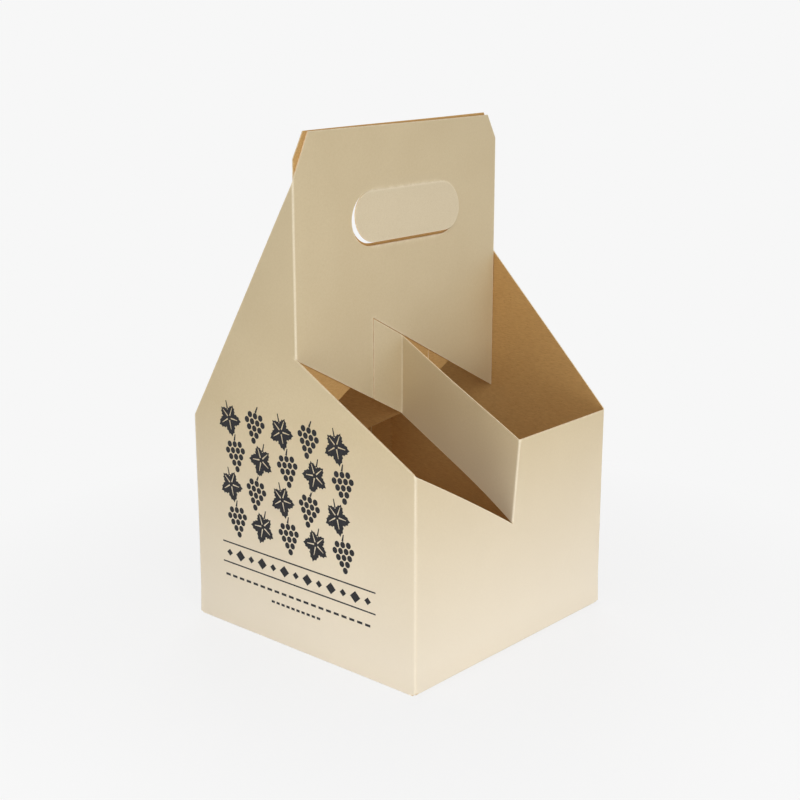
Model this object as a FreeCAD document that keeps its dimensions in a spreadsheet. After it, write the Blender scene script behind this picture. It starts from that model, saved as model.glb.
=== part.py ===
import FreeCAD
import Part
import Sketcher

import math
import os
import re

# Open-top carrier box for bottles, folded and glued from one die-cut blank of coated board.
# The origin is on the floor at the centre of the square footprint, +Z up.
# The front end wall is at -Y, the right side wall at +X, and the handle stands in the plane X = 0.
# The box repeats itself when turned half a turn about Z, apart from the rear gable's height.

SIZES = {
    "case_side": (178.0, "outside width and depth of the square sleeve"),
    "side_height": (127.0, "height of the level rim and of all four corners"),
    "board": (0.8, "thickness of the board"),
    "fold_radius": (1.2, "outside radius of every fold"),
    "strap_height": (49.0, "height of a strap, and the drop of a raked cut over half a wall"),
    "strap_flap": (25.0, "length of the flap that glues a strap to the handle"),
    "cut_gap": (0.6, "width of an open cut between two edges"),
    "gable_height": (275.0, "height of the front gable's peak and of the handle's hinge ends"),
    "rear_gable_height": (216.0, "height of the rear gable's peak"),
    "handle_height": (300.5, "height of the first handle ply's top edge"),
    "ply_rise": (1.5, "how much higher the second handle ply sits"),
    "hinge_bevel": (12.4, "length along the top of the bevel at a ply's hinged end"),
    "free_bevel": (8.0, "length along the top of the bevel at a ply's free end"),
    "free_drop": (14.5, "height of the bevel at a ply's free end"),
    "hole_length": (94.0, "length of the hand hole"),
    "hole_height": (32.0, "height of the hand hole, twice the radius of its ends"),
    "hole_drop": (36.2, "how far the hand hole's top edge lies below the first ply's top edge"),
    "hole_shift": (4.0, "how far the hand hole sits behind the middle"),
    "crease_gap": (0.4, "gap above the hand hole flap, along its crease"),
    "flap_front_gap": (2.6, "gap at the front end of the hand hole flap"),
    "flap_rear_gap": (0.8, "gap at the rear end of the hand hole flap"),
    "flap_foot_gap": (2.3, "gap below the hand hole flap"),
    "flap_lean": (4.0, "angle by which the hand hole flap stands out at its foot"),
    "seam_shift": (30.0, "how far the bottom seam lies in front of the middle"),
    "slit": (0.6, "width of the slits between the bottom flaps"),
    "corner_relief": (2.5, "side of the square relief at each bottom corner"),
    "tab_width": (64.0, "width of the bottom tab at its root"),
    "tab_reach": (26.0, "how far the bottom tab reaches behind the seam"),
    "tab_root": (8.0, "how far the bottom tab lies over its own flap"),
    "tab_taper": (5.0, "how much each edge of the bottom tab tapers"),
    "dust_flap": (55.0, "length of a bottom dust flap"),
    "dust_taper": (12.0, "how much each edge of a dust flap tapers"),
    "glue_flap": (20.0, "width of the glue flap that closes the sleeve"),
    "glue_lift": (8.0, "how far the glue flap's ends stay from the floor and the rim"),
    "glue_bevel": (7.0, "bevel at the free corners of the glue flap"),
}

HALF = "case_side / 2"
INSIDE = "(case_side / 2 - board)"
FREE_END = "(case_side / 2 - board - cut_gap)"
NOTCH = "side_height - strap_height"
CREST = "side_height + strap_height"
HOLE_TOP = "(handle_height - hole_drop)"
FLAP_REACH = "(hole_height - crease_gap - board / 2 - flap_foot_gap)"
START_RADIUS = 50.0
START_FOLD = 1.0
NEAR = 0.01


def make_sheet(doc):
    """The driving dimensions, one row each: value, name and meaning."""
    sheet = doc.addObject("Spreadsheet::Sheet", "sizes")
    for row, (name, (value, meaning)) in enumerate(SIZES.items(), start=1):
        sheet.set(f"A{row}", str(value))
        sheet.set(f"B{row}", name)
        sheet.set(f"C{row}", meaning)
        sheet.setAlias(f"A{row}", name)
    doc.recompute()
    return sheet


def bound(formula):
    """The formula with every size's name pointing at its cell."""
    return re.sub(r"[a-z_]+", lambda word: cell_name(word.group()), formula)


def cell_name(word):
    return "sizes." + word if word in SIZES else word


def along(line_from, line_to, place, start, end):
    """Height at a place on the straight line between two places, as a formula."""
    return f"{start} + ({end} - ({start})) * ({place} - ({line_from})) / ({line_to} - ({line_from}))"


def raked_low(place):
    """Height of the first ply's lower edge, and of a strap flap's, at a distance behind the middle."""
    return f"side_height - strap_height * ({place}) / ({HALF})"


def raked_high(place):
    """The same edge one strap height further up, where the strap was cut out of the ply."""
    return f"side_height + strap_height - strap_height * ({place}) / ({HALF})"


def turned(corners):
    """The corners seen after half a turn about Z."""
    return [(f"-({across})", height) for across, height in corners]


def new_body(doc, name):
    body = doc.addObject("PartDesign::Body", name)
    body.Label = name
    return body


def plane(body, role):
    for feature in body.Origin.OriginFeatures:
        if feature.Role == role:
            return feature
    raise ValueError("no plane " + role)


def new_sketch(body, name, role, level):
    """An empty sketch parallel to one of the body's own planes, at a level along that plane's axis."""
    sketch = body.newObject("Sketcher::SketchObject", name + "_outline")
    sketch.AttachmentSupport = [(plane(body, role), "")]
    sketch.MapMode = "FlatFace"
    sign = "-" if role == "XZ_Plane" else ""
    sketch.setExpression("AttachmentOffset.Base.z", bound(f"{sign}({level})"))
    return sketch


def tie_distance(sketch, kind, geometry, end, formula):
    """Ties a point's distance from the sketch's origin, across or up, to the sizes."""
    drawn = sketch.getPoint(geometry, end)
    start = drawn.x if kind == "DistanceX" else drawn.y
    index = sketch.addConstraint(Sketcher.Constraint(kind, -1, 1, geometry, end, start))
    sketch.setExpression(f"Constraints[{index}]", bound(formula))


def place_point(sketch, geometry, end, across, up):
    tie_distance(sketch, "DistanceX", geometry, end, across)
    tie_distance(sketch, "DistanceY", geometry, end, up)


def tie_radius(sketch, geometry, start, formula):
    index = sketch.addConstraint(Sketcher.Constraint("Radius", geometry, start))
    sketch.setExpression(f"Constraints[{index}]", bound(formula))


def add_polygon(sketch, corners):
    """A closed outline with straight edges; each corner is tied to the sizes."""
    count = len(corners)
    first = sketch.GeometryCount
    ring = [math.tau * step / count for step in range(count)]
    spots = [FreeCAD.Vector(START_RADIUS * math.cos(a), START_RADIUS * math.sin(a), 0) for a in ring]
    for step in range(count):
        sketch.addGeometry(Part.LineSegment(spots[step], spots[(step + 1) % count]))
    for step in range(count):
        following = first + (step + 1) % count
        sketch.addConstraint(Sketcher.Constraint("Coincident", first + step, 2, following, 1))
    for step, (across, up) in enumerate(corners):
        place_point(sketch, first + step, 1, across, up)


def add_stadium(sketch, sheet, low, high, middle, height):
    """A slot outline with round ends, between two places across and about one middle height."""
    radius = sheet.hole_height / 2
    reach = sheet.hole_length / 2 - radius
    left = FreeCAD.Vector(-reach, 0, 0)
    right = FreeCAD.Vector(reach, 0, 0)
    lift = FreeCAD.Vector(0, radius, 0)
    axis = FreeCAD.Vector(0, 0, 1)
    quarter = math.pi / 2
    top = sketch.addGeometry(Part.LineSegment(right + lift, left + lift))
    front = sketch.addGeometry(Part.ArcOfCircle(Part.Circle(left, axis, radius), quarter, 3 * quarter))
    foot = sketch.addGeometry(Part.LineSegment(left - lift, right - lift))
    rear = sketch.addGeometry(Part.ArcOfCircle(Part.Circle(right, axis, radius), -quarter, quarter))
    for one, two in ((top, front), (front, foot), (foot, rear), (rear, top)):
        sketch.addConstraint(Sketcher.Constraint("Tangent", one, 2, two, 1))
    place_point(sketch, front, 3, f"{low} + ({height}) / 2", middle)
    place_point(sketch, rear, 3, f"{high} - ({height}) / 2", middle)
    sketch.addConstraint(Sketcher.Constraint("Equal", front, rear))
    tie_radius(sketch, front, radius, f"({height}) / 2")


def pad(body, name, role, level, depth, draw):
    """Adds a drawn outline as board from the given level on."""
    sketch = new_sketch(body, name, role, level)
    draw(sketch)
    feature = body.newObject("PartDesign::Pad", name)
    feature.Profile = sketch
    feature.setExpression("Length", bound(depth))
    feature.Reversed = role == "XZ_Plane"
    return feature


def pocket(body, name, role, level, depth, draw):
    """Cuts a drawn outline away from the given level on."""
    sketch = new_sketch(body, name, role, level)
    draw(sketch)
    feature = body.newObject("PartDesign::Pocket", name)
    feature.Profile = sketch
    feature.setExpression("Length", bound(depth))
    feature.Reversed = role != "XZ_Plane"
    return feature


def polygon(corners):
    return lambda sketch: add_polygon(sketch, corners)


def rectangle(left, right, low, high):
    return polygon([(left, low), (right, low), (right, high), (left, high)])


def is_upright(edge):
    one, two = edge.Vertexes[0].Point, edge.Vertexes[-1].Point
    return abs(one.x - two.x) < NEAR and abs(one.y - two.y) < NEAR


def stands_at(edge, spots):
    point = edge.Vertexes[0].Point
    return is_upright(edge) and any(math.hypot(point.x - x, point.y - y) < NEAR for x, y in spots)


def round_folds(body, name, chosen):
    """Rounds the chosen edges of the body so far to the fold radius."""
    body.Document.recompute()
    base = body.Tip
    edges = [f"Edge{number}" for number, edge in enumerate(base.Shape.Edges, start=1) if chosen(edge)]
    if not edges:
        raise ValueError("no edges to round for " + name)
    feature = body.newObject("PartDesign::Fillet", name)
    feature.Base = (base, edges)
    feature.setExpression("Radius", bound("fold_radius"))
    return feature


def make_sleeve(body, sheet):
    """Four walls and the outer bottom layer, folded round all twelve edges of the case."""
    half = sheet.case_side / 2
    square = rectangle(f"-{HALF}", HALF, f"-{HALF}", HALF)
    pad(body, "case", "XY_Plane", "0", "side_height", square)

    def outer_fold(edge):
        on_floor = all(abs(vertex.Z) < NEAR for vertex in edge.Vertexes)
        return on_floor or stands_at(edge, [(x, y) for x in (-half, half) for y in (-half, half)])

    round_folds(body, "case_folds", outer_fold)
    hollow = rectangle(f"-{INSIDE}", INSIDE, f"-{INSIDE}", INSIDE)
    pocket(body, "hollow", "XY_Plane", "board", "side_height", hollow)


def make_rims(body):
    """The raked notches in the side walls and the gables on the end walls."""
    corner = f"({HALF} - fold_radius)"
    over = "side_height + board"
    notch = [(f"-{corner}", "side_height"), ("0", NOTCH), ("0", over), (f"-{corner}", over)]
    pocket(body, "right_notch", "YZ_Plane", INSIDE, "board", polygon(notch))
    pocket(body, "left_notch", "YZ_Plane", f"-({HALF})", "board", polygon(turned(notch)))
    front = [(f"-{corner}", "side_height"), (corner, "side_height"), ("board", CREST), ("board", "gable_height")]
    pad(body, "front_gable", "XZ_Plane", f"-({HALF})", "board", polygon(front))
    rear = [(f"-{corner}", "side_height"), (corner, "side_height")]
    rear += [("-board", "rear_gable_height"), ("-board", CREST)]
    pad(body, "rear_gable", "XZ_Plane", INSIDE, "board", polygon(rear))


def ply_corners(top):
    """A handle ply as seen from the side it is hinged on: hinge at the left, free end at the right."""
    flap_end = "(strap_flap + cut_gap)"
    corners = [(f"-({HALF})", CREST)]
    corners += [(f"-{flap_end}", raked_low(f"-{flap_end}")), (f"-{flap_end}", raked_high(f"-{flap_end}"))]
    corners += [(FREE_END, raked_high(FREE_END)), (FREE_END, f"{top} - free_drop")]
    corners += [(f"{FREE_END} - free_bevel", top), (f"hinge_bevel - {HALF}", top)]
    corners += [(f"-({HALF})", "gable_height")]
    return corners


def make_handle(body):
    """Two plies glued face to face, the first hinged at the front wall and the second at the rear."""
    pad(body, "first_ply", "YZ_Plane", "0", "board", polygon(ply_corners("handle_height")))
    second = turned(ply_corners("(handle_height + ply_rise)"))
    pad(body, "second_ply", "YZ_Plane", "-board", "board", polygon(second))


def make_straps(body):
    """Two raked straps from the side walls to the handle, each ending in a flap glued to a ply."""
    wall = INSIDE
    strap = [(wall, along("0", HALF, wall, "side_height", NOTCH)), ("0", "side_height")]
    strap += [("0", f"{CREST} - cut_gap"), (wall, along("0", HALF, wall, CREST, "side_height") + " - cut_gap")]
    flap = [("0", "side_height"), ("-strap_flap", raked_low("-strap_flap"))]
    flap += [("-strap_flap", raked_high("-strap_flap") + " - cut_gap"), ("0", f"{CREST} - cut_gap")]
    pad(body, "right_strap", "XZ_Plane", "0", "board", polygon(strap))
    pad(body, "left_strap", "XZ_Plane", "-board", "board", polygon(turned(strap)))
    pad(body, "right_strap_flap", "YZ_Plane", "0", "board", polygon(flap))
    pad(body, "left_strap_flap", "YZ_Plane", "-board", "board", polygon(turned(flap)))


def make_hand_hole(body, sheet):
    """The hand hole in both plies, higher in the second one."""
    ends = ("hole_shift - hole_length / 2", "hole_shift + hole_length / 2")

    def hole(middle):
        return lambda sketch: add_stadium(sketch, sheet, *ends, middle, "hole_height")

    first = f"{HOLE_TOP} - hole_height / 2"
    second = f"{HOLE_TOP} + ply_rise - hole_height / 2"
    pocket(body, "first_hole", "YZ_Plane", "0", "board", hole(first))
    pocket(body, "second_hole", "YZ_Plane", "-board", "board", hole(second))


def round_fold(body, name, across, deep, way, low, high):
    """Rounds an upright fold whose sharp corner stands at a place, by cutting that corner away.

    way is 1 where the board lies to the left of and behind the corner, and -1 after half a turn.
    """
    sketch = new_sketch(body, name, "XY_Plane", low)
    sketch.setExpression("AttachmentOffset.Base.x", bound(across))
    sketch.setExpression("AttachmentOffset.Base.y", bound(deep))
    radius = START_FOLD
    tip = FreeCAD.Vector(0, 0, 0)
    side = FreeCAD.Vector(-way * radius, 0, 0)
    back = FreeCAD.Vector(0, way * radius, 0)
    start = -way * math.pi / 2
    circle = Part.Circle(side + back, FreeCAD.Vector(0, 0, 1), radius)
    first = sketch.addGeometry(Part.LineSegment(tip, side))
    arc = sketch.addGeometry(Part.ArcOfCircle(circle, start, start + math.pi / 2))
    last = sketch.addGeometry(Part.LineSegment(back, tip))
    for one, two in ((first, arc), (arc, last), (last, first)):
        sketch.addConstraint(Sketcher.Constraint("Coincident", one, 2, two, 1))
    sketch.addConstraint(Sketcher.Constraint("Coincident", first, 1, -1, 1))
    sketch.addConstraint(Sketcher.Constraint("Horizontal", first))
    sketch.addConstraint(Sketcher.Constraint("Vertical", last))
    tie_distance(sketch, "DistanceX", first, 2, f"{-way} * fold_radius")
    tie_distance(sketch, "DistanceY", last, 1, f"{way} * fold_radius")
    tie_radius(sketch, arc, radius, "fold_radius")
    feature = body.newObject("PartDesign::Pocket", name)
    feature.Profile = sketch
    feature.setExpression("Length", bound(f"{high} - ({low})"))
    feature.Reversed = True
    return feature


def make_handle_folds(body):
    """The upright folds where the straps leave the side walls and the plies leave the end walls."""
    round_fold(body, "right_strap_fold", HALF, "0", 1, NOTCH, "side_height")
    round_fold(body, "left_strap_fold", f"-({HALF})", "0", -1, NOTCH, "side_height")
    round_fold(body, "first_ply_fold", "board", f"-({HALF})", 1, CREST, "gable_height")
    round_fold(body, "second_ply_fold", "-board", HALF, -1, CREST, "rear_gable_height")


def make_bottom(body):
    """Slits that part the two outer bottom flaps, corner reliefs, and the flaps of the inner layer."""
    side = f"({HALF} - fold_radius)"
    seam = rectangle(f"-{side}", side, "-seam_shift - slit", "-seam_shift")
    pocket(body, "bottom_seam", "XY_Plane", "0", "board", seam)
    for name, low, high in (("right", f"{side} - slit", side), ("left", f"-{side}", f"slit - {side}")):
        pocket(body, name + "_slit", "XY_Plane", "0", "board", rectangle(low, high, f"-{side}", side))
    for name, x_sign, y_sign in (("a", "", "-"), ("b", "", ""), ("c", "-", ""), ("d", "-", "-")):
        inner = f"({HALF} - corner_relief)"
        outer = f"({HALF} + board)"
        corners = [(inner, inner), (outer, inner), (outer, outer), (inner, outer)]
        corners = [(f"{x_sign}{x}", f"{y_sign}{y}") for x, y in corners]
        pocket(body, "relief_" + name, "XY_Plane", "-board", "2 * board", polygon(corners))
    root = f"({INSIDE} - board)"
    dust = [(INSIDE, f"-{root}"), (f"{INSIDE} - dust_flap", f"dust_taper - {root}")]
    dust += [(f"{INSIDE} - dust_flap", f"{root} - dust_taper"), (INSIDE, root)]
    pad(body, "right_dust_flap", "XY_Plane", "board", "board", polygon(dust))
    dust = [(f"-({across})", along_depth) for across, along_depth in dust]
    pad(body, "left_dust_flap", "XY_Plane", "board", "board", polygon(dust))
    tab = [("-tab_width / 2", "-seam_shift - tab_root"), ("tab_width / 2", "-seam_shift - tab_root")]
    tab += [("tab_width / 2", "tab_reach - seam_shift - tab_taper")]
    tab += [("tab_width / 2 - tab_taper", "tab_reach - seam_shift")]
    tab += [("tab_taper - tab_width / 2", "tab_reach - seam_shift")]
    tab += [("-tab_width / 2", "tab_reach - seam_shift - tab_taper")]
    pad(body, "bottom_tab", "XY_Plane", "board", "board", polygon(tab))


def make_glue_flap(body):
    """The flap inside the left wall's rear corner, which closes the sleeve into a ring."""
    inner = f"({INSIDE} - glue_flap)"
    rim = along("0", HALF, inner, NOTCH, "side_height")
    corners = [(INSIDE, "glue_lift"), (inner, "glue_lift + glue_bevel")]
    corners += [(inner, f"{rim} - glue_lift - glue_bevel"), (INSIDE, "side_height - glue_lift")]
    pad(body, "glue_flap", "YZ_Plane", f"-{INSIDE}", "board", polygon(corners))


def make_board(doc, sheet):
    body = new_body(doc, "carrier_board")
    make_sleeve(body, sheet)
    make_rims(body)
    make_handle(body)
    make_straps(body)
    make_handle_folds(body)
    make_hand_hole(body, sheet)
    make_bottom(body)
    make_glue_flap(body)
    return body


def make_hand_flap(doc, sheet):
    """The flap left in the first ply's hand hole, hinged on a crease along the hole's top edge.

    Its own origin is on the crease's axis at the middle of the hole, and it hangs down from there.
    """
    body = new_body(doc, "hand_hole_flap")
    front = "flap_front_gap - hole_length / 2"
    rear = "hole_length / 2 - flap_rear_gap"

    def plate(sketch):
        add_stadium(sketch, sheet, front, rear, f"-{FLAP_REACH} / 2", FLAP_REACH)

    pad(body, "flap_plate", "YZ_Plane", "-board / 2", "board", plate)

    def bead(sketch):
        circle = Part.Circle(FreeCAD.Vector(0, 0, 0), FreeCAD.Vector(0, 0, 1), sheet.board / 2)
        index = sketch.addGeometry(circle)
        sketch.addConstraint(Sketcher.Constraint("Coincident", index, 3, -1, 1))
        tie_radius(sketch, index, sheet.board / 2, "board / 2")

    level = f"{front} + {FLAP_REACH} / 2"
    span = f"hole_length - flap_front_gap - flap_rear_gap - {FLAP_REACH}"
    pad(body, "crease_bead", "XZ_Plane", level, span, bead)
    body.Placement.Rotation = FreeCAD.Rotation(FreeCAD.Vector(0, -1, 0), sheet.flap_lean)
    body.setExpression("Placement.Base.x", bound("board / 2"))
    body.setExpression("Placement.Base.y", bound("hole_shift"))
    body.setExpression("Placement.Base.z", bound(f"{HOLE_TOP} - crease_gap - board / 2"))
    body.setExpression("Placement.Rotation.Angle", bound("flap_lean"))
    return body


def check_model(doc, bodies):
    """Stops if any object failed, a cut removed nothing, or a sub-part isn't one sound solid."""
    for item in doc.Objects:
        if "Invalid" in item.State or "Error" in item.State:
            raise RuntimeError(f"{item.Name} failed: {item.State}")
        if item.TypeId == "PartDesign::Pocket" and item.Shape.Volume >= item.BaseFeature.Shape.Volume:
            raise RuntimeError(f"{item.Name} cuts nothing")
    for body in bodies:
        shape = body.Shape
        if shape.isNull() or not shape.isValid() or len(shape.Solids) != 1:
            raise RuntimeError(f"{body.Label} isn't one sound solid")


def main():
    doc = FreeCAD.newDocument("bottle_carrier")
    sheet = make_sheet(doc)
    bodies = [make_board(doc, sheet), make_hand_flap(doc, sheet)]
    doc.recompute()
    check_model(doc, bodies)
    os.makedirs("parts", exist_ok=True)
    for body in bodies:
        body.Shape.exportStep(f"parts/{body.Label}.step")
        box = body.Shape.BoundBox
        print(body.Label, f"{body.Shape.Volume:.0f} mm3", f"z {box.ZMin:.2f} to {box.ZMax:.2f}")


main()
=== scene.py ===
import math

import bmesh
import bpy
from mathutils import Matrix, Vector, noise
from mathutils.geometry import delaunay_2d_cdt


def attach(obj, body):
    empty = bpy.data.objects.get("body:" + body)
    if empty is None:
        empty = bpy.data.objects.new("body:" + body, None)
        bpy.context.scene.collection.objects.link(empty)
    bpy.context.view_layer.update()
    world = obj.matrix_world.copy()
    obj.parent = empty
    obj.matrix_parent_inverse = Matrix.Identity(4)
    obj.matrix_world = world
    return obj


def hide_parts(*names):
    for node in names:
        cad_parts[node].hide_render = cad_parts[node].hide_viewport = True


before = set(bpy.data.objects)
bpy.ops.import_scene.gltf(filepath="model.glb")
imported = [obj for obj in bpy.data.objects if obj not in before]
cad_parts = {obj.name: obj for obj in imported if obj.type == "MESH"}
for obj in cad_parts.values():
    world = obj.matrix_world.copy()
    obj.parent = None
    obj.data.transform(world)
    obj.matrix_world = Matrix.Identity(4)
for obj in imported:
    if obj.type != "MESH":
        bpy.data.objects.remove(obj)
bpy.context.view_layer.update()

# Lengths are in millimetres until a mesh is made.
MILLIMETRE = 0.001

# The board, drawn a little thin, and the radius of its folds.
BOARD = 0.8
SHOWN_BOARD = 0.76
BEND = 0.8

# Half the footprint, the middle of a wall's board, and where its flat part ends.
HALF = 89.0
MIDDLE = HALF - BOARD / 2
TANGENT = MIDDLE - BEND

# Heights of the rims, the gables and the handle, with how far the second ply stands over the first.
RIM = 127.0
NOTCH = 78.0
CREST = 176.0
GABLE = 275.0
REAR_GABLE = 216.0
HANDLE = 300.5
PLY_RISE = 1.5

# The handle plies: corners at both ends, and the cut-out that takes a strap's flap.
HINGE_BEVEL = 12.4
FREE_END = 87.6
FREE_FOOT = 127.8
FREE_BEVEL = 8.0
FREE_DROP = 14.5
SECOND_DROOP = 1.1
CUT_OUT = 25.6
CUT_OUT_LOW = 141.1
CUT_OUT_HIGH = 190.1

# Slots as middle along, middle height, length and height. The flap's height counts down from its crease.
FIRST_HOLE = (4.0, 248.15, 94.0, 31.7)
SECOND_HOLE = (-4.0, 248.3 + PLY_RISE, 94.0, 32.0)
HAND_FLAP = (0.3, 14.2, 91.8, 29.2)
CREASE = 263.5
FLAP_LEAN = 6.5

# The straps: heights at the wall and at the handle, and the flap that is glued to a ply.
STRAP_WALL = MIDDLE - BOARD / 2
STRAP_WALL_LOW = 78.4
STRAP_WALL_HIGH = 126.8
STRAP_CREST = 175.4
STRAP_FLAP = 25.0
STRAP_FLAP_LOW = 140.8
STRAP_FLAP_HIGH = 189.2

# The glue flap, one board inside the left wall.
GLUE_FOLD = TANGENT - BOARD
GLUE_FOOT = 8.0
GLUE_TOP = 119.0
GLUE_INSET = 0.4
GLUE_END = 68.2
GLUE_END_LOW = 15.0
GLUE_END_HIGH = 100.5
GLUE_LAP = 0.6

# The bottom: heights of its folds, and the outlines of the outer flaps, their tab and the dust flaps.
FOOT = BOARD / 2 + BEND
SIDE_FOOT = FOOT + BOARD
RELIEF = 86.5
OUTER_EDGE = 87.2
FRONT_REACH = -30.6
REAR_REACH = 30.0
TAB_EDGE = 32.0
TAB_SLIT = 32.3
TAB_ROOT = -38.0
TAB_CLIMB = 7.0
TAB_CORNER = (27.0, -9.0, -4.0)
DUST_END = 33.2
DUST_HALF = 75.4

# Spacing of mesh points, width of the worn rim, and steps round a fold.
STEP = 4.0
SKIN = 1.4
FOLD_STEPS = 6

OUT_X = Vector((1, 0, 0))
OUT_Y = Vector((0, 1, 0))
UP = Vector((0, 0, 1))

COATED, KRAFT, FIBRE, INK = range(4)

# Linear brightness of the background that the camera sees, and of the surround that lights the box.
BACKDROP = 0.93
SURROUND = 0.39

# The photograph's camera: place in metres, turn and tilt in degrees, lens and sensor in millimetres.
CAMERA_PLACE = (0.5708, -0.6447, 0.3701)
CAMERA_YAW = -41.566
CAMERA_PITCH = -15.275
CAMERA_LENS = 66.37
CAMERA_SENSOR = 36.0

# The ripples of the board are drawn with this seed.
RIPPLE_SEED = 5
noise.seed_set(RIPPLE_SEED)


def line(start, end, place):
    """Height at a place on the straight line between two (place, height) points."""
    share = (place - start[0]) / (end[0] - start[0])
    return start[1] + share * (end[1] - start[1])


def front_gable(across):
    return line((-HALF, RIM), (BOARD, GABLE), across)


def rear_gable(across):
    return line((HALF, RIM), (-BOARD, REAR_GABLE), across)


def end_rim(across):
    """The lower rim of an end wall, from the handle fold down to the corner."""
    return line((BOARD, CREST), (HALF, RIM), across)


def side_rim(along):
    """The raked rim of a side wall, from the corner down to the strap fold."""
    return line((HALF, RIM), (0, NOTCH), along)


def strap_low(across):
    return line((0, RIM), (STRAP_WALL, STRAP_WALL_LOW), across)


def strap_high(across):
    return line((0, STRAP_CREST), (STRAP_WALL, STRAP_WALL_HIGH), across)


def flap_low(along):
    return line((0, RIM), (STRAP_FLAP, STRAP_FLAP_LOW), along)


def flap_high(along):
    return line((0, STRAP_CREST), (STRAP_FLAP, STRAP_FLAP_HIGH), along)


def half_turn(point):
    return Vector((-point.x, -point.y, point.z))


def segments(length):
    return max(1, round(length / STEP))


def sample(corners):
    """Points along a closed outline. A corner may carry the number of segments to the next one."""
    points = []
    for number, corner in enumerate(corners):
        start = Vector(corner[:2])
        end = Vector(corners[(number + 1) % len(corners)][:2])
        count = corner[2] if len(corner) > 2 else segments((end - start).length)
        points += [start.lerp(end, step / count) for step in range(count)]
    return points


def signed_area(points):
    total = 0.0
    for here, there in zip(points, points[1:] + points[:1]):
        total += here.x * there.y - there.x * here.y
    return total / 2


def nearest_edge(point, loop):
    best = 1e9
    for here, there in zip(loop, loop[1:] + loop[:1]):
        side = there - here
        share = max(0.0, min(1.0, (point - here).dot(side) / max(side.length_squared, 1e-12)))
        best = min(best, (point - here - side * share).length)
    return best


def inside(point, loop):
    found = False
    for here, there in zip(loop, loop[1:] + loop[:1]):
        if (here.y > point.y) != (there.y > point.y):
            cross = here.x + (point.y - here.y) * (there.x - here.x) / (there.y - here.y)
            if point.x < cross:
                found = not found
    return found


def skin_points(loop):
    """Points a little inside an outline, so that its edge wear stays in a narrow band."""
    points = []
    turn = 1 if signed_area(loop) > 0 else -1
    for before, here, after in zip(loop[-1:] + loop[:-1], loop, loop[1:] + loop[:1]):
        way = after - before
        points.append(here + Vector((-way.y, way.x)).normalized() * SKIN * turn)
    return points


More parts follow.
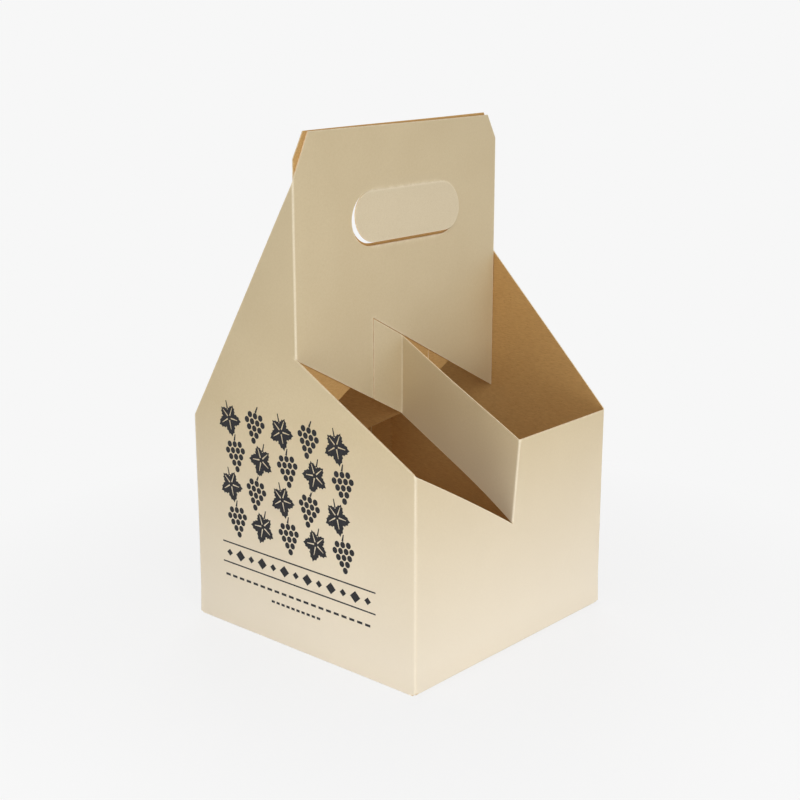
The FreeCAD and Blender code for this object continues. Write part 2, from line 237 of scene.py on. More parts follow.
class Sheet:
    """Board as its middle surface. Each point knows which way its coated side faces."""

    def __init__(self):
        self.mesh = bmesh.new()
        self.outward = self.mesh.verts.layers.float_vector.new("outward")
        self.fold_crack_and_painted_light = self.mesh.verts.layers.float.new("fold_crack_and_painted_light")

    def point(self, place, outward, fold_crack_and_painted_light=0.0):
        vertex = self.mesh.verts.new(place)
        vertex[self.outward] = outward
        vertex[self.fold_crack_and_painted_light] = fold_crack_and_painted_light
        return vertex

    def face(self, corners, outward, material):
        face = self.mesh.faces.new(corners)
        face.normal_update()
        if face.normal.dot(outward) < 0:
            face.normal_flip()
        face.material_index = material

    def panel(self, corners, place, outward, holes=(), prints=()):
        """A flat panel: place turns (u, v) into a point. Prints are inked where an odd number overlap."""
        rim = sample(corners)
        loops = [rim] + [sample(hole) if len(hole[0]) > 2 else list(map(Vector, hole)) for hole in holes]
        inner = [list(map(Vector, shape)) for shape in prints]
        points, faces = [], []
        for loop in loops + inner:
            start = len(points)
            points += loop
            order = list(range(start, len(points)))
            faces.append(order if signed_area(loop) > 0 else order[::-1])
        spare = []
        for number, loop in enumerate(loops):
            way = 1 if number == 0 else -1
            spare += [here + (there - here) * way for here, there in zip(loop, skin_points(loop))]
        low = Vector((min(p.x for p in rim), min(p.y for p in rim)))
        high = Vector((max(p.x for p in rim), max(p.y for p in rim)))
        for row in range(1, int((high.y - low.y) / STEP) + 1):
            for column in range(1, int((high.x - low.x) / STEP) + 1):
                shift = 0.5 * STEP * (row % 2)
                spare.append(low + Vector((column * STEP - shift, row * STEP)))
        kept = []
        for point in spare:
            if inside(point, rim) and not any(inside(point, loop) for loop in loops[1:]):
                room = min(nearest_edge(point, loop) for loop in loops)
                if room > 0.8 * SKIN and (room < 1.2 * SKIN or room > SKIN + 0.4 * STEP):
                    kept.append(point)
        made, _, triangles, _, _, source = delaunay_2d_cdt(points + kept, [], faces, 1, 1e-5)
        corners = [self.point(place(p.x, p.y), outward) for p in made]
        first_print = len(loops)
        for triangle, origin in zip(triangles, source):
            if 0 not in origin or any(0 < number < first_print for number in origin):
                continue
            inked = sum(number >= first_print for number in origin) % 2
            self.face([corners[i] for i in triangle], outward, INK if inked else COATED)
        for vertex in [v for v in corners if not v.link_faces]:
            self.mesh.verts.remove(vertex)

    def bend(self, low, high, centre, axis, degrees, outward, rows, shift=(0.0, 0.0), turned=False):
        """A rounded fold from the edge low-high, turned about an axis through centre."""
        columns = []
        for step in range(FOLD_STEPS + 1):
            share = step / FOLD_STEPS
            turn = Matrix.Rotation(math.radians(degrees) * share, 3, axis)
            start = centre + turn @ (low - centre) + axis * shift[0] * share
            end = centre + turn @ (high - centre) + axis * shift[1] * share
            facing = turn @ outward
            column = [start.lerp(end, row / rows) for row in range(rows + 1)]
            if turned:
                column = [half_turn(p) for p in column]
                facing = half_turn(facing)
            columns.append(([self.point(p, facing, math.sin(math.pi * share)) for p in column], facing))
        for (left, out_left), (right, out_right) in zip(columns, columns[1:]):
            for row in range(rows):
                corners = [left[row], right[row], right[row + 1], left[row + 1]]
                self.face(corners, out_left + out_right, COATED)

    def solid(self, name, materials, settle):
        """Welds the panels, gives them the board's thickness and lets them settle out of flat."""
        bmesh.ops.remove_doubles(self.mesh, verts=self.mesh.verts[:], dist=0.01)
        self.mesh.verts.index_update()
        half = SHOWN_BOARD / 2
        count = len(self.mesh.verts)
        places, fold_crack_and_light_values, rims = [], [], []
        for way in (1, -1):
            for vertex in self.mesh.verts:
                at = settle(vertex.co + vertex[self.outward].normalized() * half * way)
                places.append(at * MILLIMETRE)
                fold_crack_and_light_values.append(vertex[self.fold_crack_and_painted_light])
                rims.append(1.0 if vertex.is_boundary else 0.0)
        faces, kinds = [], []
        for face in self.mesh.faces:
            corners = [v.index for v in face.verts]
            faces.append(corners)
            kinds.append(face.material_index)
            faces.append([i + count for i in reversed(corners)])
            kinds.append(KRAFT)
        for edge in self.mesh.edges:
            if edge.is_boundary:
                start = edge.link_loops[0].vert.index
                end = edge.other_vert(edge.link_loops[0].vert).index
                faces.append([end, start, start + count, end + count])
                kinds.append(FIBRE)
        self.mesh.free()
        mesh = bpy.data.meshes.new(name)
        mesh.from_pydata(places, [], faces)
        for material in materials:
            mesh.materials.append(material)
        mesh.polygons.foreach_set("material_index", kinds)
        mesh.polygons.foreach_set("use_smooth", [True] * len(kinds))
        mesh.attributes.new("fold_crack_and_painted_light", "FLOAT", "POINT").data.foreach_set("value", fold_crack_and_light_values)
        mesh.attributes.new("rim", "FLOAT", "POINT").data.foreach_set("value", rims)
        mesh.set_sharp_from_angle(angle=math.radians(40))
        mesh.validate()
        piece = bpy.data.objects.new(name, mesh)
        bpy.context.scene.collection.objects.link(piece)
        return piece


def strap_lean(point):
    """The right strap's fold was creased askew: its foot lies further forward than its top."""
    x, y, z = point
    start_x, still_z, at_rim, at_notch = 30.0, 8.0, 2.0, -3.6
    if x < start_x:
        return 0.0
    if z > NOTCH:
        lean = line((RIM, at_rim), (NOTCH, at_notch), z)
    else:
        lean = at_notch * max(0.0, (z - still_z) / (NOTCH - still_z))
    return lean * max(0.0, 1 - abs(y) / MIDDLE) * ((x - start_x) / (MIDDLE - start_x)) ** 2


def settle(point):
    """Small bows and waves that board takes on once it has been folded and filled."""
    x, y, z = point
    bow, inset, stiff_foot = 0.45, 0.3, 20.0
    ripple, ripple_length = 0.2, 70.0
    sway_size, sway_from, sway_rise, sway_length, sway_reach = 0.9, 266.0, 34.0, 34.0, 30.0
    reach_x, reach_y = x / MIDDLE, y / MIDDLE
    bow_x = bow * (math.cos(0.5 * math.pi * reach_y) - 1)
    bow_y = bow * (math.cos(0.5 * math.pi * reach_x) - 1)
    rise = min(1.0, max(0.0, z / stiff_foot))
    wave = noise.noise_vector(Vector((x, y, z)) / ripple_length)
    high = min(1.0, max(0.0, (z - sway_from) / sway_rise)) ** 2 * (1 - min(1.0, abs(reach_y)) ** 2)
    sway = sway_size * math.sin(y / sway_length + 0.6) * high * max(0.0, 1 - abs(x) / sway_reach)
    x += reach_x * (bow_x * rise - inset + ripple * wave.x) + sway
    y += reach_y * (bow_y * rise - inset + ripple * wave.y) + strap_lean(point)
    return Vector((x, y, z))


def stadium(middle_y, middle_z, length, height, count=18):
    """A slot's outline with round ends."""
    radius = height / 2
    run = length / 2 - radius
    points = []
    for way, start in ((1, -90), (-1, 90)):
        for step in range(count + 1):
            angle = math.radians(start + 180 * step / count)
            along = middle_y + way * run + radius * math.cos(angle)
            points.append((along, middle_z + radius * math.sin(angle)))
    return points


def disc(centre, radius, count=14):
    angles = [2 * math.pi * step / count for step in range(count)]
    return [(centre[0] + radius * math.cos(a), centre[1] + radius * math.sin(a)) for a in angles]


def bar(start, end, width, tip=None):
    """A straight stroke, which may taper to a thinner tip."""
    start, end = Vector(start), Vector(end)
    side = (end - start).normalized().orthogonal()
    tip = width if tip is None else tip
    near, far = side * width / 2, side * tip / 2
    return [tuple(p) for p in (start - near, end - far, end + far, start + near)]


def leaf(centre, size, tilt):
    """A five-lobed vine leaf with bare veins."""
    steps, lobe_turn = 75, math.radians(72)
    outline = []
    for step in range(steps):
        angle = 2 * math.pi * step / steps
        away = 2 * abs((angle / lobe_turn + 0.5) % 1 - 0.5)
        tooth = 0.05 * math.cos(25 * angle)
        reach = size * (0.60 + 0.42 * (1 - away) ** 0.85 + tooth) * (1 - 0.24 * (1 - math.cos(angle)) / 2)
        turned = angle + tilt
        outline.append((centre[0] + reach * math.cos(turned), centre[1] + reach * math.sin(turned)))
    shapes = [outline]
    for lobe in (0, -72, 72, -144, 144):
        angle = math.radians(lobe) + tilt
        way = Vector((math.cos(angle), math.sin(angle)))
        start = Vector(centre) + way * 0.14 * size
        shapes.append(bar(start, Vector(centre) + way * 0.66 * size, 0.08 * size, 0.03 * size))
    back = Vector((-math.cos(tilt), -math.sin(tilt)))
    root, tip = Vector(centre) + back * 0.52 * size, Vector(centre) + back * size
    shapes.append(bar(root, tip, 0.11 * size, 0.07 * size))
    return shapes


def grapes(centre, size, tilt):
    """A hanging bunch with its stalk."""
    shapes = []
    gap = 0.40 * size
    turn = Matrix.Rotation(tilt, 2)
    for row, count in enumerate((3, 4, 3, 2, 1)):
        for number in range(count):
            offset = Vector(((number - (count - 1) / 2) * gap, (1.5 - row) * 0.86 * gap))
            shapes.append(disc(Vector(centre) + turn @ offset, 0.44 * gap))
    foot = Vector(centre) + turn @ Vector((0, 2.05 * 0.86 * gap))
    top = Vector(centre) + turn @ Vector((0.12 * size, 3.1 * 0.86 * gap))
    shapes.append(bar(foot, top, 0.13 * size, 0.07 * size))
    return shapes


def print_shapes():
    """A plain pattern of vine leaves and grapes over a diamond border and broken rules."""
    left, top, across, down, indent = -57.0, 132.0, 22.0, 20.5, 5.0
    shapes = []
    for row in range(4):
        for column in range(5):
            centre = (left + across * column + (indent if row % 2 else 0.0), top - down * row)
            if (row + column) % 2:
                shapes += grapes((centre[0], centre[1] - 0.5), 11.0, 0.12 * (-1) ** column)
            else:
                shapes += leaf(centre, 10.6, math.radians(-90 + 14 * (-1) ** row))
    border_left, border_middle, border_pitch = -60.0, 47.0, 9.5
    for number in range(13):
        middle = Vector((border_left + border_pitch * number, border_middle))
        size = 3.6 if number % 2 else 2.3
        shapes.append([tuple(middle + Vector(d) * size) for d in ((1.1, 0), (0, 1), (-1.1, 0), (0, -1))])
    for height in (53.4, 40.6):
        shapes.append(bar((-66, height), (60, height), 0.9))
    for height, low, high, pitch in ((32.5, -64.0, 58.0, 6.1), (25.5, -24.0, 18.0, 4.2)):
        for number in range(int((high - low) / pitch)):
            start = low + number * pitch
            shapes.append(bar((start, height), (start + 0.66 * pitch, height), 1.5))
    return shapes


def ply(top, droop=0.0):
    """A handle ply from its fold at the left to its free end at the right, which may droop a little."""
    fold_top = line((-HALF, GABLE), (HINGE_BEVEL - HALF, top), -TANGENT)
    fold_foot = line((-HALF, CREST), (-CUT_OUT, CUT_OUT_LOW), -TANGENT)
    return [
        (-TANGENT, fold_foot), (-CUT_OUT, CUT_OUT_LOW), (-CUT_OUT, CUT_OUT_HIGH), (FREE_END, FREE_FOOT),
        (FREE_END, top - FREE_DROP - droop), (FREE_END - FREE_BEVEL, top - droop),
        (HINGE_BEVEL - HALF, top), (-TANGENT, fold_top),
    ]


def add_end_wall(sheet):
    """Front wall with its print, the fold to the first ply, and the ply with its hand hole."""
    peak = front_gable(-BOARD / 2)
    rows = segments(peak - CREST)
    corners = [
        (-RELIEF, FOOT), (RELIEF, FOOT), (TANGENT, FOOT), (TANGENT, end_rim(TANGENT)), (BOARD, CREST),
        (-BOARD / 2, CREST, rows), (-BOARD / 2, peak), (-TANGENT, front_gable(-TANGENT)), (-TANGENT, FOOT),
    ]
    sheet.panel(corners, lambda u, v: Vector((u, -MIDDLE, v)), -OUT_Y, prints=print_shapes())
    shape = ply(HANDLE)
    foot, top = shape[0][1], shape[-1][1]
    sheet.bend(
        Vector((-BOARD / 2, -MIDDLE, CREST)), Vector((-BOARD / 2, -MIDDLE, peak)),
        Vector((-BOARD / 2, -TANGENT, 0)), UP, 90, -OUT_Y, rows, (foot - CREST, top - peak),
    )
    shape[-1] = (*shape[-1], rows)
    hole = stadium(*FIRST_HOLE)
    sheet.panel(shape, lambda u, v: Vector((BOARD / 2, u, v)), OUT_X, holes=[hole])


def add_rear_wall(sheet):
    """Rear wall, the lower fold to the second ply, and that ply."""
    peak = rear_gable(BOARD / 2)
    rows = segments(peak - CREST)
    corners = [
        (RELIEF, FOOT), (-RELIEF, FOOT), (-GLUE_FOLD, FOOT), (-GLUE_FOLD, GLUE_FOOT), (-GLUE_FOLD, GLUE_TOP),
        (-GLUE_FOLD, end_rim(GLUE_FOLD)), (-BOARD, CREST), (BOARD / 2, CREST, rows), (BOARD / 2, peak),
        (TANGENT, rear_gable(TANGENT)), (TANGENT, FOOT),
    ]
    sheet.panel(corners, lambda u, v: Vector((u, MIDDLE, v)), OUT_Y)
    shape = ply(HANDLE + PLY_RISE, SECOND_DROOP)
    foot = shape[0][1]
    fold_top = peak + PLY_RISE
    sheet.bend(
        Vector((BOARD / 2, MIDDLE, CREST)), Vector((BOARD / 2, MIDDLE, peak)),
        Vector((BOARD / 2, TANGENT, 0)), UP, 90, OUT_Y, rows, (foot - CREST, fold_top - peak),
    )
    shape += [(-TANGENT, fold_top, rows)]
    hole = stadium(*SECOND_HOLE)
    sheet.panel(shape, lambda u, v: Vector((-BOARD / 2, -u, v)), -OUT_X, holes=[hole])


def add_side(sheet, turned):
    """Side wall, its strap, and the strap's glued flap."""
    turn = half_turn if turned else Vector
    rows = segments(RIM - NOTCH)
    near, far = SIDE_FOOT, BOARD / 2 + BEND
    free_end = TANGENT + GLUE_LAP if turned else TANGENT
    corners = [
        (-RELIEF, near), (RELIEF, near), (TANGENT, near), (TANGENT, RIM), (far, RIM, rows), (far, NOTCH),
        (0, NOTCH), (-free_end, side_rim(free_end)), (-free_end, near),
    ]
    sheet.panel(corners, lambda u, v: turn(Vector((MIDDLE, u, v))), turn(OUT_X))
    root_low, root_high = strap_low(TANGENT), strap_high(TANGENT)
    sheet.bend(
        Vector((MIDDLE, far, NOTCH)), Vector((MIDDLE, far, RIM)), Vector((TANGENT, far, 0)),
        UP, -90, OUT_X, rows, (root_low - NOTCH, root_high - RIM), turned,
    )
    inner = segments(strap_high(far) - strap_low(far))
    strap = [
        (TANGENT, root_low, rows), (TANGENT, root_high),
        (far, strap_high(far), inner), (far, strap_low(far)),
    ]
    sheet.panel(strap, lambda u, v: turn(Vector((u, BOARD / 2, v))), turn(-OUT_Y))
    start = BOARD / 2
    sheet.bend(
        Vector((far, BOARD / 2, strap_low(far))), Vector((far, BOARD / 2, strap_high(far))),
        Vector((far, -start, 0)), UP, 90, -OUT_Y, inner,
        (flap_low(start) - strap_low(far), flap_high(start) - strap_high(far)), turned,
    )
    flap = [
        (start, flap_low(start), inner), (start, flap_high(start)),
        (STRAP_FLAP, flap_high(STRAP_FLAP)), (STRAP_FLAP, flap_low(STRAP_FLAP)),
    ]
    sheet.panel(flap, lambda u, v: turn(Vector((BOARD / 2, -u, v))), turn(OUT_X))


def add_corners(sheet):
    """Upright folds between the walls, and the glue flap inside the left wall."""
    tall = segments(end_rim(TANGENT) - FOOT)
    falling = (SIDE_FOOT - FOOT, side_rim(TANGENT) - end_rim(TANGENT))
    sheet.bend(
        Vector((TANGENT, -MIDDLE, FOOT)), Vector((TANGENT, -MIDDLE, end_rim(TANGENT))),
        Vector((TANGENT, -TANGENT, 0)), UP, 90, -OUT_Y, tall, falling,
    )
    rising = (FOOT - SIDE_FOOT, rear_gable(TANGENT) - RIM)
    tall = segments(RIM - SIDE_FOOT)
    sheet.bend(
        Vector((MIDDLE, TANGENT, SIDE_FOOT)), Vector((MIDDLE, TANGENT, RIM)),
        Vector((TANGENT, TANGENT, 0)), UP, 90, OUT_X, tall, rising,
    )
    rising = (FOOT - SIDE_FOOT, front_gable(-TANGENT) - RIM)
    sheet.bend(
        Vector((-MIDDLE, -TANGENT, SIDE_FOOT)), Vector((-MIDDLE, -TANGENT, RIM)),
        Vector((-TANGENT, -TANGENT, 0)), UP, 90, -OUT_X, tall, rising,
    )
    tall = segments(GLUE_TOP - GLUE_FOOT)
    sheet.bend(
        Vector((-GLUE_FOLD, MIDDLE, GLUE_FOOT)), Vector((-GLUE_FOLD, MIDDLE, GLUE_TOP)),
        Vector((-GLUE_FOLD, TANGENT, 0)), UP, 90, OUT_Y, tall, (GLUE_INSET, -GLUE_INSET),
    )
    glued = [
        (TANGENT, GLUE_FOOT + GLUE_INSET, tall), (TANGENT, GLUE_TOP - GLUE_INSET),
        (GLUE_END, GLUE_END_HIGH), (GLUE_END, GLUE_END_LOW),
    ]
    sheet.panel(glued, lambda u, v: Vector((-TANGENT, u, v)), -OUT_X)


def tab_lift(across, along):
    """Height of the front bottom flap: its tab climbs over the rear flap."""
    if abs(across) > (TAB_EDGE + TAB_SLIT) / 2 or along < TAB_ROOT:
        return BOARD / 2
    share = min(1.0, (along - TAB_ROOT) / TAB_CLIMB)
    return BOARD / 2 + BOARD * share * share * (3 - 2 * share)


def add_bottom(sheet):
    """Outer bottom flaps with their tab, and the dust flaps that lie on them."""
    rows = segments(2 * RELIEF)
    for way, wall, reach in ((1, -OUT_Y, FRONT_REACH), (-1, OUT_Y, REAR_REACH)):
        sheet.bend(
            Vector((-RELIEF * way, -MIDDLE * way, FOOT)), Vector((RELIEF * way, -MIDDLE * way, FOOT)),
            Vector((0, -TANGENT * way, FOOT)), OUT_X * way, 90, wall, rows,
        )
        shape = [
            (-RELIEF, -TANGENT, rows), (RELIEF, -TANGENT), (RELIEF, -RELIEF),
            (OUTER_EDGE, -RELIEF), (OUTER_EDGE, reach),
        ]
        if way > 0:
            corner_x, corner_y, tab_end = TAB_CORNER
            half_tab = [
                (TAB_SLIT, reach), (TAB_SLIT, TAB_ROOT), (TAB_EDGE, TAB_ROOT),
                (TAB_EDGE, corner_y), (corner_x, tab_end),
            ]
            shape += half_tab + [(-x, y) for x, y in reversed(half_tab)]
        shape += [(-OUTER_EDGE, reach), (-OUTER_EDGE, -RELIEF), (-RELIEF, -RELIEF)]
        lift = tab_lift if way > 0 else lambda u, v: BOARD / 2
        sheet.panel(shape, lambda u, v: Vector((u * way, v * way, lift(u, v))), -UP)
        sheet.bend(
            Vector((MIDDLE * way, -RELIEF * way, SIDE_FOOT)),
            Vector((MIDDLE * way, RELIEF * way, SIDE_FOOT)),
            Vector((TANGENT * way, 0, SIDE_FOOT)), OUT_Y * way, 90, OUT_X * way, rows,
        )
        dust = [(TANGENT, -RELIEF, rows), (TANGENT, RELIEF), (DUST_END, DUST_HALF), (DUST_END, -DUST_HALF)]
        sheet.panel(dust, lambda u, v: Vector((u * way, v * way, FOOT)), -UP)


def make_board(materials):
    sheet = Sheet()
    add_end_wall(sheet)
    add_rear_wall(sheet)
    add_side(sheet, False)
    add_side(sheet, True)
    add_corners(sheet)
    add_bottom(sheet)
    piece = sheet.solid("folded_board", materials, settle)
    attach(piece, "carrier")
    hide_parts("carrier_board")


def make_flap(materials):
    """The hand hole's flap, a little ajar on its crease, paler at the crease and painted paler all over to
    stand for the light it catches.
    """
    creased, painted_light_share = 0.9, 0.5
    sheet = Sheet()
    lean = math.radians(FLAP_LEAN)
    slope = Vector((math.sin(lean), 0, -math.cos(lean)))
    outward = Vector((math.cos(lean), 0, math.sin(lean)))
    crease = Vector((BOARD / 2, FIRST_HOLE[0], CREASE))
    shape = stadium(*HAND_FLAP)
    sheet.panel(shape, lambda u, v: crease + OUT_Y * u + slope * v, outward)
    for vertex in sheet.mesh.verts:
        # Below its crease the flap is painted paler, standing in for the extra light it catches.
        vertex[sheet.fold_crack_and_painted_light] = creased if vertex.co.z > crease.z else painted_light_share
    piece = sheet.solid("hand_flap_sheet", materials, settle)
    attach(piece, "hand_flap")
    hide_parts("hand_hole_flap")


def tone(red, green, blue):
    """A screen colour from 0 to 255 as the linear colour that a shader takes."""
    def linear(value):
        value /= 255
        return value / 12.92 if value <= 0.04045 else ((value + 0.055) / 1.055) ** 2.4
    return (linear(red), linear(green), linear(blue), 1.0)


class Nodes:
    """Short calls for building one material's nodes."""

    def __init__(self, name):
        self.material = bpy.data.materials.new(name)
        self.material.use_nodes = True
        self.tree = self.material.node_tree
        self.shader = self.tree.nodes["Principled BSDF"]
        self.place = self.tree.nodes.new("ShaderNodeTexCoord").outputs["Object"]

    def put(self, socket, value):
        if isinstance(value, bpy.types.NodeSocket):
            self.tree.links.new(value, socket)
        else:
            socket.default_value = value

    def node(self, kind, **inputs):
        made = self.tree.nodes.new("ShaderNode" + kind)
        for name, value in inputs.items():
            self.put(made.inputs[name.replace("_", " ")], value)
        return made

    def stretched(self, scale):
        return self.node("Mapping", Vector=self.place, Scale=scale).outputs["Vector"]

    def noise(self, scale, detail=3.0, roughness=0.55, vector=None):
        place = vector or self.place
        made = self.node("TexNoise", Scale=scale, Detail=detail, Roughness=roughness, Vector=place)
        return made.outputs["Fac"]

    def remap(self, value, low, high, to_low=0.0, to_high=1.0):
        made = self.node("MapRange", Value=value)
        ends = {"From Min": low, "From Max": high, "To Min": to_low, "To Max": to_high}
        for name, number in ends.items():
            self.put(made.inputs[name], number)
        return made.outputs["Result"]

    def math(self, kind, first, second):
        made = self.node("Math")
        made.operation = kind
        self.put(made.inputs[0], first)
        self.put(made.inputs[1], second)
        return made.outputs[0]

    def mix(self, share, first, second):
        """A colour between two. The node's colour sockets are inputs 6 and 7 and output 2."""
        made = self.node("Mix")
        made.data_type = "RGBA"
        self.put(made.inputs["Factor"], share)
        self.put(made.inputs[6], first)
        self.put(made.inputs[7], second)
        return made.outputs[2]

    def attribute(self, name):
        made = self.node("Attribute")
        made.attribute_name = name
        return made.outputs["Fac"]

    def bump(self, height, distance, strength=1.0, under=None):
        made = self.node("Bump", Height=height, Distance=distance, Strength=strength)
        if under is not None:
            self.put(made.inputs["Normal"], under)
        return made.outputs["Normal"]


def coated_material():
    """Clay-coated board: satin cream, painted paler near the floor to stand for floor light, paler along its
    folds where the coating cracks and across the hand flap as painted light, and at worn rims.
    """
    n = Nodes("coated_cream")
    cloud = n.remap(n.noise(14, 2), 0.3, 0.7)
    mottle = n.remap(n.noise(900, 4, 0.6), 0.3, 0.7)
    body = n.mix(cloud, tone(207, 188, 150), tone(215, 197, 160))
    speck = n.math("MULTIPLY", mottle, 0.35)
    body = n.mix(speck, body, tone(198, 177, 137))
    # Painted light: the coating is drawn paler towards the floor, in place of light bounced up from the
    # floor.
    height = n.node("SeparateXYZ", Vector=n.place).outputs["Z"]
    body = n.mix(n.remap(height, 0.015, 0.140, 0.72, 0.0), body, tone(243, 233, 216))
    # Paler where the coating cracks along folds; on the hand flap the same attribute is painted light that
    # makes the whole flap paler.
    crack = n.remap(n.noise(2200, 3, 0.7), 0.35, 0.6, 0.35, 1.0)
    fold_crack_and_painted_light = n.math("MULTIPLY", n.attribute("fold_crack_and_painted_light"), crack)
    body = n.mix(n.math("MULTIPLY", fold_crack_and_painted_light, 0.75), body, tone(240, 228, 205))
    worn = n.math("POWER", n.attribute("rim"), 3.0)
    rub = n.remap(n.noise(260, 4, 0.7), 0.42, 0.62, 0.4, 1.0)
    worn = n.math("MULTIPLY", n.math("MULTIPLY", worn, rub), 0.85)
    body = n.mix(worn, body, tone(240, 226, 198))
    n.put(n.shader.inputs["Base Color"], body)
    n.put(n.shader.inputs["Roughness"], n.remap(n.noise(300, 3), 0.3, 0.7, 0.38, 0.50))
    n.put(n.shader.inputs["Specular IOR Level"], 0.5)
    fine = n.bump(n.noise(1400, 4, 0.6), 0.00002, 0.5)
    n.put(n.shader.inputs["Normal"], n.bump(n.noise(60, 2), 0.0003, 0.25, fine))
    return n.material


def kraft_material():
    """Uncoated inside: golden brown with long fibres."""
    n = Nodes("kraft_brown")
    fibre = n.remap(n.noise(1.0, 5, 0.65, n.stretched((260, 260, 1500))), 0.3, 0.7)
    cloud = n.remap(n.noise(22, 3), 0.3, 0.7)
    body = n.mix(fibre, tone(186, 144, 86), tone(211, 170, 110))
    body = n.mix(n.math("MULTIPLY", cloud, 0.35), body, tone(194, 150, 90))
    fleck = n.remap(n.noise(1.0, 2, 0.5, n.stretched((700, 700, 3200))), 0.66, 0.74)
    body = n.mix(n.math("MULTIPLY", fleck, 0.6), body, tone(140, 100, 60))
    n.put(n.shader.inputs["Base Color"], body)
    n.put(n.shader.inputs["Roughness"], n.remap(fibre, 0.0, 1.0, 0.72, 0.88))
    n.put(n.shader.inputs["Specular IOR Level"], 0.3)
    n.put(n.shader.inputs["Normal"], n.bump(fibre, 0.00005, 0.6))
    return n.material


def fibre_material():
    """Cut edge: pale fibre layers."""
    n = Nodes("cut_edge")
    layer = n.remap(n.noise(1.0, 4, 0.6, n.stretched((900, 900, 300))), 0.3, 0.7)
    body = n.mix(layer, tone(224, 196, 152), tone(250, 232, 200))
    n.put(n.shader.inputs["Base Color"], body)
    n.put(n.shader.inputs["Roughness"], n.remap(layer, 0.0, 1.0, 0.8, 0.92))
    n.put(n.shader.inputs["Specular IOR Level"], 0.25)
    n.put(n.shader.inputs["Normal"], n.bump(layer, 0.00006, 0.7))
    return n.material


def ink_material():
    """Near-black print, thin enough for the coating to speckle through."""
    n = Nodes("print_ink")
    cover = n.remap(n.noise(1600, 4, 0.7), 0.62, 0.72)
    cloud = n.remap(n.noise(90, 3), 0.3, 0.7)
    body = n.mix(cloud, tone(24, 24, 29), tone(35, 34, 38))
    body = n.mix(n.math("MULTIPLY", cover, 0.55), body, tone(150, 134, 110))
    n.put(n.shader.inputs["Base Color"], body)
    n.put(n.shader.inputs["Roughness"], n.remap(n.noise(300, 3), 0.3, 0.7, 0.42, 0.55))
    n.put(n.shader.inputs["Specular IOR Level"], 0.25)
    n.put(n.shader.inputs["Normal"], n.bump(n.noise(1400, 4, 0.6), 0.00002, 0.5))
    return n.material


def camera_rays(tree):
    """A socket that is one for rays from the camera, a reflection or a clear body."""
    rays = tree.nodes.new("ShaderNodeLightPath")
    seen = rays.outputs["Is Camera Ray"]
    for name in ("Is Glossy Ray", "Is Transmission Ray"):
        joined = tree.nodes.new("ShaderNodeMath")
        joined.operation = "MAXIMUM"
        tree.links.new(seen, joined.inputs[0])
        tree.links.new(rays.outputs[name], joined.inputs[1])
        seen = joined.outputs[0]
    return seen


def make_floor():
    """A pale plain floor, in metres, that runs out into the background."""
    mesh = bpy.data.meshes.new("floor")
    reach, drop = 4.0, 5e-5
    corners = [(-reach, -reach, -drop), (reach, -reach, -drop), (reach, reach, -drop), (-reach, reach, -drop)]
    mesh.from_pydata(corners, [], [(0, 1, 2, 3)])
    n = Nodes("pale_floor")
    n.put(n.shader.inputs["Base Color"], (0.90, 0.90, 0.90, 1))
    n.put(n.shader.inputs["Roughness"], 0.9)
    glow = n.node("Emission", Color=(BACKDROP, BACKDROP, BACKDROP, 1), Strength=1.0)
    away = n.node("VectorMath", Vector=n.place)
    away.operation = "LENGTH"
    fade = n.remap(away.outputs["Value"], 0.08, 0.34, 0.80, 1.0)
    blend = n.node("MixShader")
    n.put(blend.inputs[0], n.math("MULTIPLY", fade, camera_rays(n.tree)))
    n.put(blend.inputs[1], n.shader.outputs[0])
    n.put(blend.inputs[2], glow.outputs[0])
    n.put(n.tree.nodes["Material Output"].inputs["Surface"], blend.outputs[0])
    mesh.materials.append(n.material)
    floor = bpy.data.objects.new("floor", mesh)
    bpy.context.scene.collection.objects.link(floor)


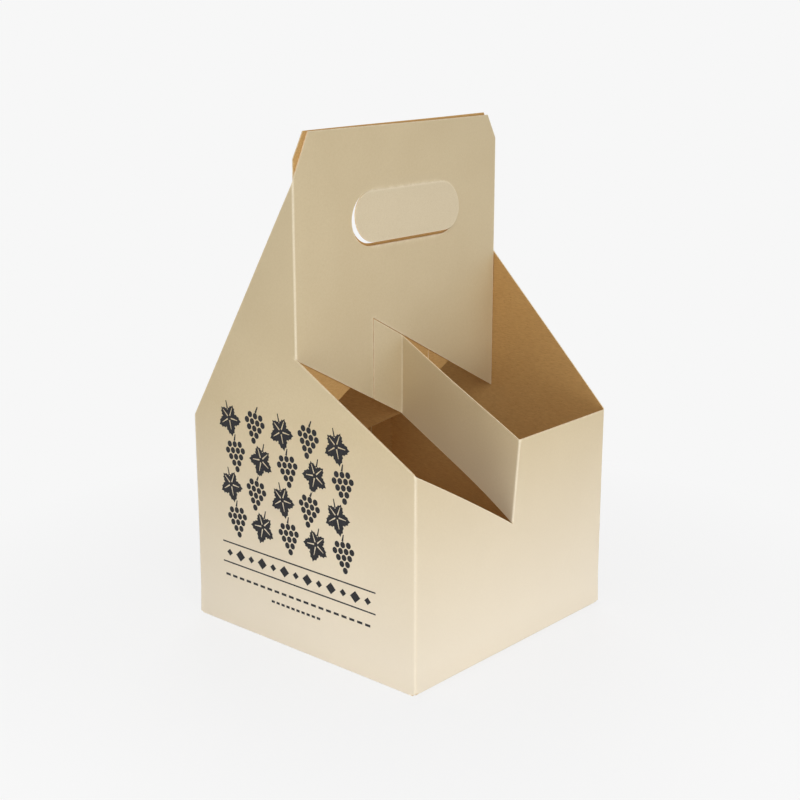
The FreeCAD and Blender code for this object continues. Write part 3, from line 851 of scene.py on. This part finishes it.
def make_world():
    """An even grey surround for the light, and the photograph's near-white for what the camera sees."""
    world = bpy.data.worlds.new("studio")
    world.use_nodes = True
    tree = world.node_tree
    plain = tree.nodes["Background"]
    plain.inputs["Color"].default_value = (1, 1, 1, 1)
    plain.inputs["Strength"].default_value = SURROUND
    seen = tree.nodes.new("ShaderNodeBackground")
    seen.inputs["Color"].default_value = (BACKDROP, BACKDROP, BACKDROP, 1)
    blend = tree.nodes.new("ShaderNodeMixShader")
    tree.links.new(camera_rays(tree), blend.inputs[0])
    tree.links.new(plain.outputs[0], blend.inputs[1])
    tree.links.new(seen.outputs[0], blend.inputs[2])
    tree.links.new(blend.outputs[0], tree.nodes["World Output"].inputs["Surface"])
    bpy.context.scene.world = world


def add_light(name, place, aim, size, power):
    """A soft rectangular light: place, aim and size in metres, power in watts."""
    light = bpy.data.lights.new(name, "AREA")
    light.shape = "RECTANGLE"
    light.size, light.size_y = size
    light.energy = power
    holder = bpy.data.objects.new(name, light)
    holder.location = place
    holder.visible_camera = False
    holder.rotation_mode = "QUATERNION"
    holder.rotation_quaternion = (Vector(aim) - Vector(place)).to_track_quat("-Z", "Y")
    bpy.context.scene.collection.objects.link(holder)


def make_camera():
    """Stands where the photograph was taken from."""
    lens = bpy.data.cameras.new("camera")
    lens.lens = CAMERA_LENS
    lens.sensor_width = CAMERA_SENSOR
    lens.clip_start, lens.clip_end = 0.01, 20
    camera = bpy.data.objects.new("camera", lens)
    yaw, pitch = math.radians(CAMERA_YAW), math.radians(CAMERA_PITCH)
    ahead = Vector((math.sin(yaw) * math.cos(pitch), math.cos(yaw) * math.cos(pitch), math.sin(pitch)))
    camera.location = CAMERA_PLACE
    camera.rotation_mode = "QUATERNION"
    camera.rotation_quaternion = ahead.to_track_quat("-Z", "Y")
    bpy.context.scene.collection.objects.link(camera)
    bpy.context.scene.camera = camera


materials = [coated_material(), kraft_material(), fibre_material(), ink_material()]
make_board(materials)
make_flap(materials)
make_floor()
make_world()
add_light("key", (1.0, -0.7, 1.0), (0, 0, 0.12), (0.8, 0.8), 6.9)
add_light("fill", (0.36, -0.72, 0.42), (0.03, -0.05, 0.12), (0.5, 0.5), 0.46)
add_light("back_fill", (-0.9, 1.0, 0.8), (0, 0, 0.12), (0.9, 0.9), 6.5)
add_light("low_right", (0.37, 0.03, 0.06), (0, 0.03, 0.07), (0.34, 0.08), 0.24)
add_light("low_front", (0.07, -0.37, 0.06), (0.07, 0, 0.07), (0.30, 0.08), 0.22)
make_camera()
bpy.context.scene.view_settings.view_transform = "Standard"
